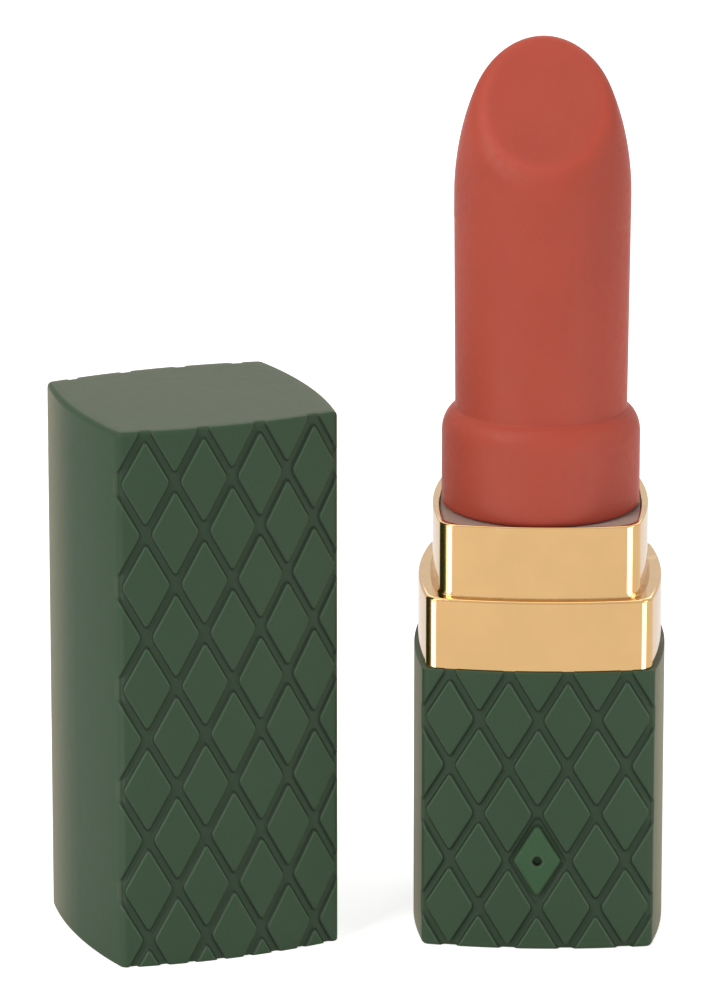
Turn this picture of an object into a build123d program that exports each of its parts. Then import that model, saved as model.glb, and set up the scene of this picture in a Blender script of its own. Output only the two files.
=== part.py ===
from build123d import *
import math
import os

# A rechargeable massager in the shape of a lipstick, shown open: the unit stands at the origin and
# its cap stands beside it at -X.
# Millimetres. Origin: centre of the unit's underside. +Z up the unit's axis, -Y its front.

# ---- outlines: width and depth corner to corner, bulge of the sides and of the faces, corner radius
BASE_OUTLINE = (23.4, 21.9, 1.15, 1.25, 0.8)
LOWER_OUTLINE = (22.6, 21.4, 1.15, 1.2, 1.5)
UPPER_OUTLINE = (19.9, 19.6, 1.05, 1.05, 1.9)
RECESS_OUTLINE = (19.1, 18.9, 0.7, 1.05, 3.2)
COLLAR_INSIDE = (15.6, 15.0, 1.05, 1.05, 1.0)

REACH = 60.0                # past the edge of every piece, for cutting tools and halves

# ---- heights up the unit
BASE_H = 29.6
LOWER_TOP = 37.0
UPPER_TOP = 44.5
TIP_TOP = 93.9

# ---- base housing
WALL = 1.7
FLOOR = 2.2
CAVITY_CORNER_R = 1.0
EDGE_R = 0.5

# ---- quilted pattern: a lattice of diagonal grooves on the front and back faces
LATTICE_X = 6.0
BASE_LATTICE_Z = 10.0
BASE_CROSSING_Z = -0.5
GROOVE_W = 0.9
GROOVE_DEPTH = 0.35
GROOVE_REACH = 0.5          # how far behind a face's corners the grooves still cut

# ---- charging port: a soft diamond plug in the front wall
PORT_Z = 9.5
PORT_HALF_W = 2.42
PORT_HALF_H = 3.95
PORT_CORNER_R = 0.35
PORT_MOAT = (0.53, 1.05)    # extra half width and half height of the moat round the plug
MOAT_CORNER_R = 0.5
MOAT_DEPTH = 0.6
PLUG_EDGE_R = 0.25
PIN_HOLE_R = 0.45
PLUG_FRONT = 12.1           # distance of the plug's front face from the axis
PLUG_FLANGE_Y = (-10.25, -9.5)
PLUG_FLANGE = (7.4, 8.6)

# ---- cap
CAP_H = 56.2
CAP_TOP_WALL = 1.0
CAP_CLEARANCE = 0.1         # cap to upper collar, all round
CAP_LATTICE_Z = 10.68
CAP_PLACE = (-35.4, -4.5)
CAP_YAW = 23.0

# ---- stepped gold collar, gasket and seals
SPIGOT_BOTTOM = 26.5
SPIGOT_CLEARANCE = 0.1
COLLAR_EDGE_R = 0.3
RIM_EDGE_R = 0.12
RECESS_FLOOR = 43.2
GASKET_Z = (43.25, 44.15)
CORE_PLATE = 1.5
RING_SECTION = 1.1
RING_Z = 28.3
FIT_GAP = 0.05

# ---- bullet: silicone sleeve on a hard core
FLANGE_R = 10.1
FLANGE_EDGE_R = 0.5
FLANGE_TOP = 52.0
SHOULDER = ((1.0, 1.2), (0.3, 2.0))     # added radius and added height of the points down the shoulder
NECK_Z = 54.7
BULLET_R_LOW = 8.75
BULLET_R = 8.95
DOME_Z = 76.5
DOME_HANDLE = 8.8           # how far the dome's curve leans up from the side, and out from the tip
TIP_HANDLE = 4.9
FACET_FRONT_Z = 80.0        # where the slanted facet meets the front of the bullet
FACET_ANGLE = 45.0
FACET_DISH = 0.3
FACET_HALF = 7.0
FACET_MIDDLE = 8.05
FACET_EDGE_R = 1.2
CORE_R = 6.9
CORE_WALL = 1.0
CORE_BOTTOM = 40.2
CORE_FLANGE_R = 8.0
CORE_FLANGE_H = 1.4
CORE_NECK_R = 7.2
NECK_COLLAR_TOP = 44.8
CORE_STRAIGHT_TOP = 75.0
CORE_DOME_H = 6.0
QUARTER = 0.5523            # a curve's handle length for a quarter of an ellipse
SHELF_Z = (48.6, 49.8)
SHELF_R = 3.6
PARTING_GAP = 0.01

# ---- motor
MOTOR_R = 5.0
MOTOR_BOTTOM = 51.0
MOTOR_TOP = 70.0
END_CAP_H = 1.2
CAN_WALL = 0.5
CAN_TOP = 0.8
END_CAP_CHAMFER = 0.2
SHAFT_R = 0.6
BUSH_BORE_R = 0.64
BUSH_R = 1.72
BUSH_SEAT_R = 1.75
BUSH_L = 2.0
BUSH_PROUD = (0.4, 0.6)     # how far the lower and the upper bushing stand out of the motor
SHAFT_Z = (50.4, 77.8)
ROTOR_HOLE_R = 0.61
COMMUTATOR = (1.6, 53.2, 55.4)
ARMATURE = (3.3, 56.0, 66.4)
SLOT_W = 0.9
SLOT_FROM = 1.5
MAGNET_R = (3.65, 4.45)
MAGNET_Z = (55.6, 66.8)
MAGNET_GAP_W = 3.4
WEIGHT_R = 4.4
WEIGHT_Z = (71.6, 77.4)
WEIGHT_HUB_R = 1.5
DAMPER_R = (5.04, 5.85)
DAMPER_H = 3.0

# ---- chassis, board and what they carry
CHASSIS_GAP = 0.25
CHASSIS_FLOOR = (3.8, 5.0)
CHASSIS_TOP = (25.0, 26.3)
CHASSIS_FRAME_W = 2.6
WEB_Y = (-3.4, -2.2)
WEB_HALF_W = 8.6
RAIL_X = 9.3
RAIL_W = 1.6
RAIL_BACK = 5.5
FOOT = 2.2
FOOT_Y = 7.0
SWITCH_ROOM = 0.3
LEAD_WINDOW = (6.4, 22.0)   # half width of the web's opening for the leads, and where it starts
BOARD_SIZE = (16.0, 1.0, 18.2)
BOARD_BOTTOM = 5.8
BOARD_BACK = -3.45
SCREW_SPOTS = ((-6.7, 8.0), (6.7, 8.0), (-6.7, 20.0), (6.7, 20.0))
SCREW_R = 0.6
SCREW_GAP = 0.02
SCREW_HEAD_R = 1.2
SCREW_HEAD_H = 0.8
SCREW_SLOT = (0.3, 0.3)     # width and depth of the slot in a screw's head
BOARD_HOLE_GAP = 0.1
SOLDER_GAP = 0.02
CHIP_SIZE = (5.0, 0.9, 5.0)
CHIP_Z = 18.0
JACK_W = 6.0
JACK_H = 6.5
JACK_FRONT = -9.05
JACK_BORE_R = 1.3
JACK_WALL = 0.8
CONTACT_SLOT = (1.8, 2.5)   # width and top, above the bore's axis, of the slot that holds the contact
CONTACT_W = 1.4
CONTACT_THICK = 0.25
CONTACT_UP = 1.9            # the strip's underside above the bore's axis
CONTACT_BEND = 0.75
CONTACT_GAP = 0.2
BATTERY_SIZE = (15.5, 8.0, 14.6)
BATTERY_BACK_OF_WEB = 0.65
BATTERY_BOTTOM = 9.6
BATTERY_CORNER_R = 1.5
PAD_SIZE = (13.0, 0.5, 11.0)
PAD_BOTTOM = 10.6
WIRE_R = 0.35
WIRE_END = (-3.05, 22.8)    # y and z where every lead reaches the board
# each lead's path as points from its start to the board: x, y and z, mirrored for its twin
BATTERY_LEAD = ((2.4, 2.2, 24.22), (2.4, 1.2, 25.7), (2.4, -1.4, 25.0), (2.4, *WIRE_END))
MOTOR_LEAD = ((2.9, 0, 50.98), (2.6, -0.6, 44), (3.6, -1.4, 33), (5.2, -2.4, 26), (5.4, *WIRE_END))

# ---- power button in the underside, and its switch
BUTTON_OPENING_R = 4.3
BUTTON_R = 4.2
BUTTON_RECESS = 0.4
BUTTON_FLANGE_R = 5.4
BUTTON_FLANGE_Z = (2.35, 3.15)
BUTTON_EDGE_R = 0.3
BOSS_R = 1.6
BOSS_TOP = 4.58
PLUNGER_Z = (4.6, 6.2)
PLUNGER_R = 1.7
PLUNGER_BORE_R = 1.75
SWITCH_Z = (5.6, 9.0)
SWITCH_SIDE = 6.0
SWITCH_BORE_TOP = 7.2
SWITCH_Y = -0.35
SEAL_Z = (0.9, 1.7)
SEAL_R = (4.25, 5.0)


def outline(shape, inset=0.0, corner_r=None):
    """A four-sided outline with convex sides and rounded corners, drawn inset by a distance."""
    width, depth, side_bulge, face_bulge, own_corner_r = shape
    w = width / 2 - inset
    d = depth / 2 - inset
    sides = [
        ThreePointArc((-w, -d), (0, -d - face_bulge), (w, -d)),
        ThreePointArc((w, -d), (w + side_bulge, 0), (w, d)),
        ThreePointArc((w, d), (0, d + face_bulge), (-w, d)),
        ThreePointArc((-w, d), (-w - side_bulge, 0), (-w, -d)),
    ]
    face = make_face(sides)
    return fillet(face.vertices(), own_corner_r if corner_r is None else corner_r)


def prism(shape, z0, z1, inset=0.0, corner_r=None):
    """An outline pulled up from z0 to z1."""
    return Pos(0, 0, z0) * extrude(outline(shape, inset, corner_r), z1 - z0)


def cavity_prism(z0, z1, inset=0.0):
    """A prism that follows the base housing's inner wall, inset from that wall."""
    return prism(BASE_OUTLINE, z0, z1, WALL + inset, CAVITY_CORNER_R)


def disc(radius, z0, z1):
    """A round solid on the unit's axis."""
    return Pos(0, 0, (z0 + z1) / 2) * Cylinder(radius, z1 - z0)


def ring(inner_r, outer_r, z0, z1):
    """A round ring on the unit's axis."""
    return disc(outer_r, z0, z1) - disc(inner_r, z0 - 1, z1 + 1)


def block(x, y, z):
    """A box from three (low, high) pairs."""
    size = [high - low for low, high in (x, y, z)]
    centre = [(high + low) / 2 for low, high in (x, y, z)]
    return Pos(*centre) * Box(*size)


def rod_y(radius, x, z, y0, y1):
    """A round solid along Y."""
    return Pos(x, (y0 + y1) / 2, z) * Rot(90, 0, 0) * Cylinder(radius, y1 - y0)


def diamond_y(half_w, half_h, y0, y1, corner_r):
    """A diamond across the XZ plane at the port's height, pulled along Y from y0 to y1."""
    corners = Polygon((-half_w, 0), (0, -half_h), (half_w, 0), (0, half_h), align=None)
    face = fillet(corners.vertices(), corner_r)
    return Pos(0, y1, PORT_Z) * Rot(90, 0, 0) * extrude(face, y1 - y0)


def quilting(height, pitch_z, crossing_z):
    """The groove lattice of both faces: its lines cross at crossing_z, half a pitch off the axis."""
    width, depth = BASE_OUTLINE[:2]
    angle = math.degrees(math.atan2(pitch_z, LATTICE_X))
    length = 2 * (height + width)
    reach = depth / 2 - GROOVE_REACH
    lines_each_way = int((height * LATTICE_X / pitch_z + width) / LATTICE_X) + 2
    bars = []
    for k in range(-lines_each_way, lines_each_way + 1):
        for sign in (-1, 1):
            bar = Box(length, 2 * depth, GROOVE_W)
            bars.append(Pos((k + 0.5) * LATTICE_X, 0, crossing_z) * Rot(0, sign * angle, 0) * bar)
    skin = prism(BASE_OUTLINE, 0, height) - prism(BASE_OUTLINE, -1, height + 1, GROOVE_DEPTH)
    middle = block((-width, width), (-reach, reach), (-1, height + 1))
    return (skin - middle) & Compound(children=bars)


def base_housing():
    body = prism(BASE_OUTLINE, 0, BASE_H)
    body = fillet(body.faces().sort_by(Axis.Z)[0].edges(), EDGE_R)
    body -= quilting(BASE_H, BASE_LATTICE_Z, BASE_CROSSING_Z)
    body -= cavity_prism(FLOOR, BASE_H + 1)
    body -= disc(BUTTON_OPENING_R, -1, FLOOR + 1)
    body -= disc(SEAL_R[1] + FIT_GAP, SEAL_Z[0] - FIT_GAP, SEAL_Z[1] + FIT_GAP)
    moat_y = -(BASE_OUTLINE[1] / 2 + BASE_OUTLINE[3] - MOAT_DEPTH)
    moat_w, moat_h = PORT_MOAT
    body -= diamond_y(PORT_HALF_W + moat_w, PORT_HALF_H + moat_h, -REACH, moat_y, MOAT_CORNER_R)
    return body - diamond_y(PORT_HALF_W + FIT_GAP, PORT_HALF_H + FIT_GAP, -REACH, 0, PORT_CORNER_R)


def port_seal():
    front = diamond_y(PORT_HALF_W, PORT_HALF_H, -PLUG_FRONT, PLUG_FLANGE_Y[1], PORT_CORNER_R)
    front = fillet(front.faces().sort_by(Axis.Y)[0].edges(), PLUG_EDGE_R)
    half_w, half_h = PLUG_FLANGE[0] / 2, PLUG_FLANGE[1] / 2
    plug = front + block((-half_w, half_w), PLUG_FLANGE_Y, (PORT_Z - half_h, PORT_Z + half_h))
    return plug - rod_y(PIN_HOLE_R, 0, PORT_Z, -REACH, 0)


def stepped_collar():
    """The gold collar: a low band flush with the base, a smaller band above it, a spigot below."""
    low = prism(LOWER_OUTLINE, BASE_H, LOWER_TOP)
    low = fillet(low.faces().sort_by(Axis.Z)[-1].edges(), COLLAR_EDGE_R)
    high = prism(UPPER_OUTLINE, BASE_H, UPPER_TOP)
    high = fillet(high.faces().sort_by(Axis.Z)[-1].edges(), RIM_EDGE_R)
    spigot = cavity_prism(SPIGOT_BOTTOM, BASE_H, SPIGOT_CLEARANCE)
    groove = (RING_Z - RING_SECTION / 2 - FIT_GAP, RING_Z + RING_SECTION / 2 + FIT_GAP)
    spigot -= cavity_prism(*groove) - cavity_prism(*groove, RING_SECTION)
    body = low + high + spigot
    body -= prism(RECESS_OUTLINE, RECESS_FLOOR, UPPER_TOP + 1)
    body -= prism(COLLAR_INSIDE, SPIGOT_BOTTOM - 1, RECESS_FLOOR - CORE_PLATE)
    return body - disc(CORE_NECK_R + FIT_GAP, SPIGOT_BOTTOM, UPPER_TOP)


def collar_o_ring():
    section = (RING_Z - RING_SECTION / 2, RING_Z + RING_SECTION / 2)
    return cavity_prism(*section, FIT_GAP) - cavity_prism(*section, RING_SECTION - FIT_GAP)


def bullet_gasket():
    gasket = prism(RECESS_OUTLINE, *GASKET_Z, FIT_GAP)
    return gasket - disc(CORE_NECK_R + FIT_GAP, RECESS_FLOOR - 1, UPPER_TOP)


def sleeve_blank():
    """The sleeve's outer form before the facet is cut."""
    bottom = GASKET_Z[1] + FIT_GAP
    inner = FLANGE_R - FLANGE_EDGE_R
    shoulder = [(BULLET_R_LOW + out, FLANGE_TOP + up) for out, up in SHOULDER]
    side = [
        Line((0, bottom), (inner, bottom)),
        RadiusArc((inner, bottom), (FLANGE_R, bottom + FLANGE_EDGE_R), -FLANGE_EDGE_R),
        Line((FLANGE_R, bottom + FLANGE_EDGE_R), (FLANGE_R, FLANGE_TOP)),
        Spline((FLANGE_R, FLANGE_TOP), *shoulder, (BULLET_R_LOW, NECK_Z), tangents=((0, 1), (0, 1))),
        Line((BULLET_R_LOW, NECK_Z), (BULLET_R, DOME_Z)),
        Bezier((BULLET_R, DOME_Z), (BULLET_R, DOME_Z + DOME_HANDLE), (TIP_HANDLE, TIP_TOP), (0, TIP_TOP)),
        Line((0, TIP_TOP), (0, bottom)),
    ]
    profile = Plane.XZ * make_face(side)
    return revolve(profile, Axis.Z)


def facet_cutter():
    """A very large ball that takes the slanted, slightly dished facet off the front of the tip."""
    ball_r = (FACET_HALF**2 + FACET_DISH**2) / (2 * FACET_DISH)
    slope = math.radians(FACET_ANGLE)
    edge = Vector(0, -BULLET_R, FACET_FRONT_Z)
    along = Vector(0, math.cos(slope), math.sin(slope))
    normal = Vector(0, -math.sin(slope), math.cos(slope))
    middle = edge + along * FACET_MIDDLE - normal * FACET_DISH
    return Pos(*(middle + normal * ball_r)) * Sphere(ball_r)


def core_outside(grow=0.0):
    """The hard core's outer form above its flange, grown by a distance."""
    bend = CORE_STRAIGHT_TOP
    top = bend + CORE_DOME_H + grow
    radius = CORE_R + grow
    handle = bend + QUARTER * (top - bend)
    side = [
        Line((0, CORE_BOTTOM), (radius, CORE_BOTTOM)),
        Line((radius, CORE_BOTTOM), (radius, bend)),
        Bezier((radius, bend), (radius, handle), (QUARTER * radius, top), (0, top)),
        Line((0, top), (0, CORE_BOTTOM)),
    ]
    return revolve(Plane.XZ * make_face(side), Axis.Z)


def silicone_sleeve():
    body = sleeve_blank() - facet_cutter()
    facet_edge = body.edges().group_by(Axis.Z)[-1]
    body = fillet(facet_edge, FACET_EDGE_R)
    body -= core_outside(FIT_GAP)
    return body - disc(CORE_NECK_R + FIT_GAP, RECESS_FLOOR, NECK_COLLAR_TOP + FIT_GAP)


def bullet_core():
    body = core_outside() + disc(CORE_FLANGE_R, CORE_BOTTOM, CORE_BOTTOM + CORE_FLANGE_H)
    body += disc(CORE_NECK_R, CORE_BOTTOM, NECK_COLLAR_TOP)
    hollow = core_outside(-CORE_WALL) + disc(CORE_R - CORE_WALL, CORE_BOTTOM - 1, CORE_STRAIGHT_TOP)
    body -= hollow
    return body + ring(SHELF_R, CORE_R - CORE_WALL / 2, *SHELF_Z)


def half(body, front):
    """The front or rear half of a body, parted at the unit's middle plane."""
    keep = (-REACH, -PARTING_GAP) if front else (PARTING_GAP, REACH)
    return body & block((-REACH, REACH), keep, (0, 2 * REACH))


def motor_can():
    body = disc(MOTOR_R, MOTOR_BOTTOM + END_CAP_H, MOTOR_TOP)
    body -= disc(MOTOR_R - CAN_WALL, MOTOR_BOTTOM, MOTOR_TOP - CAN_TOP)
    return body - disc(BUSH_SEAT_R, MOTOR_BOTTOM, MOTOR_TOP + 1)


def motor_end_cap():
    cap = ring(BUSH_SEAT_R, MOTOR_R, MOTOR_BOTTOM, MOTOR_BOTTOM + END_CAP_H)
    return chamfer(cap.edges().sort_by(Axis.Z)[0], END_CAP_CHAMFER)


def motor_bushings():
    bottom = MOTOR_BOTTOM - BUSH_PROUD[0]
    top = MOTOR_TOP + BUSH_PROUD[1]
    low = ring(BUSH_BORE_R, BUSH_R, bottom, bottom + BUSH_L)
    high = ring(BUSH_BORE_R, BUSH_R, top - BUSH_L, top)
    return Compound(children=[low, high])


def motor_magnets():
    body = ring(*MAGNET_R, *MAGNET_Z)
    half_gap = MAGNET_GAP_W / 2
    return body - block((-half_gap, half_gap), (-REACH, REACH), (0, 2 * REACH))


def motor_damper():
    low = ring(*DAMPER_R, MOTOR_BOTTOM, MOTOR_BOTTOM + DAMPER_H)
    high = ring(*DAMPER_R, MOTOR_TOP - DAMPER_H, MOTOR_TOP)
    return Compound(children=[low, high])


def motor_shaft():
    return disc(SHAFT_R, *SHAFT_Z)


def commutator():
    radius, z0, z1 = COMMUTATOR
    return ring(ROTOR_HOLE_R, radius, z0, z1)


def armature():
    radius, z0, z1 = ARMATURE
    body = ring(ROTOR_HOLE_R, radius, z0, z1)
    slot = block((SLOT_FROM, REACH), (-SLOT_W / 2, SLOT_W / 2), (0, 2 * REACH))
    for turn in (60, 180, 300):
        body -= Rot(0, 0, turn) * slot
    return body


def eccentric_weight():
    heavy_side = block((-REACH, REACH), (-REACH, 0), (0, 2 * REACH))
    body = disc(WEIGHT_R, *WEIGHT_Z) & heavy_side
    body += disc(WEIGHT_HUB_R, *WEIGHT_Z)
    return body - disc(ROTOR_HOLE_R, 0, 2 * REACH)


def chassis():
    floor = cavity_prism(*CHASSIS_FLOOR, CHASSIS_GAP) - disc(BUTTON_FLANGE_R / 2, *CHASSIS_FLOOR)
    top = cavity_prism(*CHASSIS_TOP, CHASSIS_GAP) - cavity_prism(*CHASSIS_TOP, CHASSIS_FRAME_W)
    web = block((-WEB_HALF_W, WEB_HALF_W), WEB_Y, (CHASSIS_FLOOR[1], CHASSIS_TOP[0]))
    body = floor + top + web
    foot = block((-FOOT / 2, FOOT / 2), (-FOOT / 2, FOOT / 2), (FLOOR + FIT_GAP, CHASSIS_FLOOR[0]))
    rail = block((-RAIL_W / 2, RAIL_W / 2), (WEB_Y[0], RAIL_BACK), (CHASSIS_FLOOR[1], CHASSIS_TOP[0]))
    for side in (-1, 1):
        body += Pos(side * WEB_HALF_W, -FOOT_Y, 0) * foot
        body += Pos(side * WEB_HALF_W, FOOT_Y, 0) * foot
        body += Pos(side * RAIL_X, 0, 0) * rail
    room = SWITCH_SIDE / 2 + SWITCH_ROOM
    body -= block((-room, room), WEB_Y, (CHASSIS_FLOOR[1], SWITCH_Z[1] + SWITCH_ROOM))
    half_w, bottom = LEAD_WINDOW
    body -= block((-half_w, half_w), WEB_Y, (bottom, CHASSIS_TOP[0]))
    for x, z in SCREW_SPOTS:
        body -= rod_y(SCREW_R + SCREW_GAP, x, z, *WEB_Y)
    return body


def circuit_board():
    width, thick, height = BOARD_SIZE
    x = (-width / 2, width / 2)
    board = block(x, (BOARD_BACK - thick, BOARD_BACK), (BOARD_BOTTOM, BOARD_BOTTOM + height))
    for sx, sz in SCREW_SPOTS:
        board -= rod_y(SCREW_R + BOARD_HOLE_GAP, sx, sz, -REACH, 0)
    return board


def board_screws():
    under_head = BOARD_BACK - BOARD_SIZE[1] - SOLDER_GAP
    outer = under_head - SCREW_HEAD_H
    slot_w, slot_depth = SCREW_SLOT
    screws = []
    for x, z in SCREW_SPOTS:
        head = rod_y(SCREW_HEAD_R, x, z, outer, under_head)
        slot_x = (x - SCREW_HEAD_R, x + SCREW_HEAD_R)
        head -= block(slot_x, (outer - 1, outer + slot_depth), (z - slot_w / 2, z + slot_w / 2))
        screws.append(head + rod_y(SCREW_R, x, z, under_head, WEB_Y[1]))
    return Compound(children=screws)


def control_chip():
    width, thick, height = CHIP_SIZE
    front = BOARD_BACK - BOARD_SIZE[1] - SOLDER_GAP
    return block((-width / 2, width / 2), (front - thick, front), (CHIP_Z - height / 2, CHIP_Z + height / 2))


def charge_jack():
    back = BOARD_BACK - BOARD_SIZE[1] - SOLDER_GAP
    inside = (JACK_FRONT + JACK_WALL, back - JACK_WALL)
    body = block((-JACK_W / 2, JACK_W / 2), (JACK_FRONT, back), (PORT_Z - JACK_H / 2, PORT_Z + JACK_H / 2))
    body -= rod_y(JACK_BORE_R, 0, PORT_Z, -REACH, inside[1])
    slot_w, slot_top = CONTACT_SLOT
    return body - block((-slot_w / 2, slot_w / 2), inside, (PORT_Z, PORT_Z + slot_top))


def jack_contact():
    """A springy strip along the top of the jack's slot, bent down at its front end."""
    back = BOARD_BACK - BOARD_SIZE[1] - SOLDER_GAP - JACK_WALL - FIT_GAP
    front = JACK_FRONT + JACK_WALL + CONTACT_GAP
    x = (-CONTACT_W / 2, CONTACT_W / 2)
    top = PORT_Z + CONTACT_UP + CONTACT_THICK
    strip = block(x, (front, back), (top - CONTACT_THICK, top))
    return strip + block(x, (front, front + CONTACT_THICK), (top - CONTACT_BEND, top))


def battery_cell():
    width, thick, height = BATTERY_SIZE
    y0 = WEB_Y[1] + BATTERY_BACK_OF_WEB
    body = block((-width / 2, width / 2), (y0, y0 + thick), (BATTERY_BOTTOM, BATTERY_BOTTOM + height))
    return fillet(body.edges().filter_by(Axis.Z), BATTERY_CORNER_R)


def battery_pad():
    width, thick, height = PAD_SIZE
    y0 = WEB_Y[1] + FIT_GAP
    return block((-width / 2, width / 2), (y0, y0 + thick), (PAD_BOTTOM, PAD_BOTTOM + height))


def lead_pair(points):
    """Two round insulated leads, mirrored across the unit's middle."""
    leads = []
    for side in (-1, 1):
        path = Spline(*[(side * x, y, z) for x, y, z in points])
        section = Plane(origin=path @ 0, z_dir=path % 0) * Circle(WIRE_R)
        leads.append(sweep(section, path=path))
    return Compound(children=leads)


def tact_switch_body():
    side = SWITCH_SIDE / 2
    body = block((-side, side), (-side, side), SWITCH_Z)
    return Pos(0, SWITCH_Y, 0) * (body - disc(PLUNGER_BORE_R, 0, SWITCH_BORE_TOP))


def switch_plunger():
    return Pos(0, SWITCH_Y, 0) * disc(PLUNGER_R, *PLUNGER_Z)


def power_button():
    body = disc(BUTTON_R, BUTTON_RECESS, BUTTON_FLANGE_Z[0])
    body = fillet(body.edges().sort_by(Axis.Z)[0], BUTTON_EDGE_R)
    body += disc(BUTTON_FLANGE_R, *BUTTON_FLANGE_Z)
    return body + Pos(0, SWITCH_Y, 0) * disc(BOSS_R, BUTTON_FLANGE_Z[0], BOSS_TOP)


def button_seal():
    return ring(*SEAL_R, *SEAL_Z)


def cap_shell():
    body = prism(BASE_OUTLINE, 0, CAP_H)
    body = fillet(body.faces().sort_by(Axis.Z)[-1].edges(), EDGE_R)
    body -= quilting(CAP_H, CAP_LATTICE_Z, CAP_H)
    body -= prism(UPPER_OUTLINE, -1, CAP_H - CAP_TOP_WALL, -CAP_CLEARANCE)
    return Pos(*CAP_PLACE, 0) * Rot(0, 0, CAP_YAW) * body


PIECES = {
    "base_housing": base_housing,
    "port_seal": port_seal,
    "stepped_collar": stepped_collar,
    "collar_o_ring": collar_o_ring,
    "bullet_gasket": bullet_gasket,
    "silicone_sleeve": silicone_sleeve,
    "bullet_core_front": lambda: half(bullet_core(), True),
    "bullet_core_rear": lambda: half(bullet_core(), False),
    "motor_can": motor_can,
    "motor_end_cap": motor_end_cap,
    "motor_bushings": motor_bushings,
    "motor_magnets": motor_magnets,
    "motor_damper": motor_damper,
    "motor_shaft": motor_shaft,
    "commutator": commutator,
    "armature": armature,
    "eccentric_weight": eccentric_weight,
    "chassis": chassis,
    "circuit_board": circuit_board,
    "board_screws": board_screws,
    "control_chip": control_chip,
    "charge_jack": charge_jack,
    "jack_contact": jack_contact,
    "battery_cell": battery_cell,
    "battery_pad": battery_pad,
    "battery_leads": lambda: lead_pair(BATTERY_LEAD),
    "motor_leads": lambda: lead_pair(MOTOR_LEAD),
    "tact_switch_body": tact_switch_body,
    "switch_plunger": switch_plunger,
    "power_button": power_button,
    "button_seal": button_seal,
    "cap_shell": cap_shell,
}

os.makedirs("parts", exist_ok=True)
for node, make in PIECES.items():
    export_step(make(), f"parts/{node}.step")
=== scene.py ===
import math

import bpy
import numpy as np
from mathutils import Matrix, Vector


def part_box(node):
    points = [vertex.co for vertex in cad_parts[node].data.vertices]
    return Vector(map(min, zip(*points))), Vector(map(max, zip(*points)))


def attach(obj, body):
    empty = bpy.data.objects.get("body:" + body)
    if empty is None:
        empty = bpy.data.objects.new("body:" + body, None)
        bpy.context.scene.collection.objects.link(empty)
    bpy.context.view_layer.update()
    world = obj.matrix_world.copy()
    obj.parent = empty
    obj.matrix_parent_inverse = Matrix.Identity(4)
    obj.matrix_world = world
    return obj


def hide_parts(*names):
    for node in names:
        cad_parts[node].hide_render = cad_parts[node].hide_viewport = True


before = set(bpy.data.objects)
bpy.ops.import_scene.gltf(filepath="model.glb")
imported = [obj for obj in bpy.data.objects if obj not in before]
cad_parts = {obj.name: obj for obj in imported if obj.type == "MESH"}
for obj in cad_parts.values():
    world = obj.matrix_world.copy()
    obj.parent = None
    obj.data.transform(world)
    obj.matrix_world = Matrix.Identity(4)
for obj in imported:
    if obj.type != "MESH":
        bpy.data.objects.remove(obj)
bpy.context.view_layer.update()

# A lipstick-shaped massager, open, with its cap standing beside it. Lengths are in millimetres
# until a mesh is made; the frame is the CAD's: +Z up the unit's axis, -Y its front.

MM = 0.001


def box_mm(node):
    low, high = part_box(node)
    return np.array(low) / MM, np.array(high) / MM


# ---- outlines: width and depth corner to corner, bulge of the sides and of the faces, corner radius
BASE_OUTLINE = (23.4, 21.9, 1.15, 1.25, 0.8)
LOWER_OUTLINE = (22.6, 21.4, 1.15, 1.2, 1.5)
UPPER_OUTLINE = (19.9, 19.6, 1.05, 1.05, 1.9)
RECESS_OUTLINE = (19.1, 18.9, 0.7, 1.05, 3.2)
COLLAR_INSIDE = (15.6, 15.0, 1.05, 1.05, 1.0)
WALL = 1.7
FLOOR = 2.2
CAVITY_CORNER_R = 1.0
EDGE_R = 0.5
BUTTON_OPENING_R = 4.3
BUTTON_OPENING_ROUND = 0.12
SEAL_GROOVE_R = 5.05
SEAL_GROOVE_Z = (0.85, 1.75)

# ---- cap
CAP_TOP_WALL = 1.0
CAP_CLEARANCE = 0.1
CAP_YAW = 23.0
CAP_RIM_R = 0.2

# ---- quilting
LATTICE_X = 6.0
BASE_LATTICE_Z = 10.0
BASE_CROSSING_Z = -0.5
CAP_LATTICE_Z = 10.68
STEP = 0.075                       # column spacing across a quilted face
GROOVE_FLOOR = 0.31                # half width of a groove's floor, and of its mouth
GROOVE_MOUTH = 0.45
DIAMOND_CORNER_R = 0.4
GROOVE_DEPTH = 0.35
GROOVE_REACH = 0.5                 # how far behind a face's corners the grooves still cut
GROOVE_FADE = 0.25                 # over which they run out there
GROOVE_SPACING = 5.19              # from one groove to the next, square to them
CORNER_COLUMNS = 9
SIDE_COLUMNS = 61

# Marks stored on each point for the materials: place across both groove directions, 1 where the
# quilting is, and a piece's painted light (the port's painted shadow, painted shade down the pin hole,
# a painted highlight on the facet's rim).
MARKS = ("lattice_u", "lattice_v", "on_face", "painted_light")

# ---- port
PORT_HALF = (2.42, 3.95)
MOAT = (0.53, 1.05)
MOAT_CORNER_R = 0.5
MOAT_DEPTH = 0.6
MOAT_WALL = 0.16
PORT_CORNER_R = 0.35
PIN_HOLE_R = 0.42
PLUG_FLANGE_Y = -10.25
PLUG_EDGE_R = 0.3
PLUG_SWELL = 0.10                  # how far the plug's face bulges towards the hole

# ---- collar
LEDGE_Z = 37.0
GASKET_GAP = 0.05                  # between the recess's floor and the gasket
LOW_FOOT_R = 0.12
LEDGE_EDGE_R = 0.32
LEDGE_FILLET_R = 0.22
RIM_EDGE_R = 0.17
CORE_HOLE_R = 7.25
CORE_PLATE = 1.5
SPIGOT_CLEARANCE = 0.1
RING_Z = 28.3
RING_HALF = 0.6
RING_DEPTH = 1.1

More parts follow.
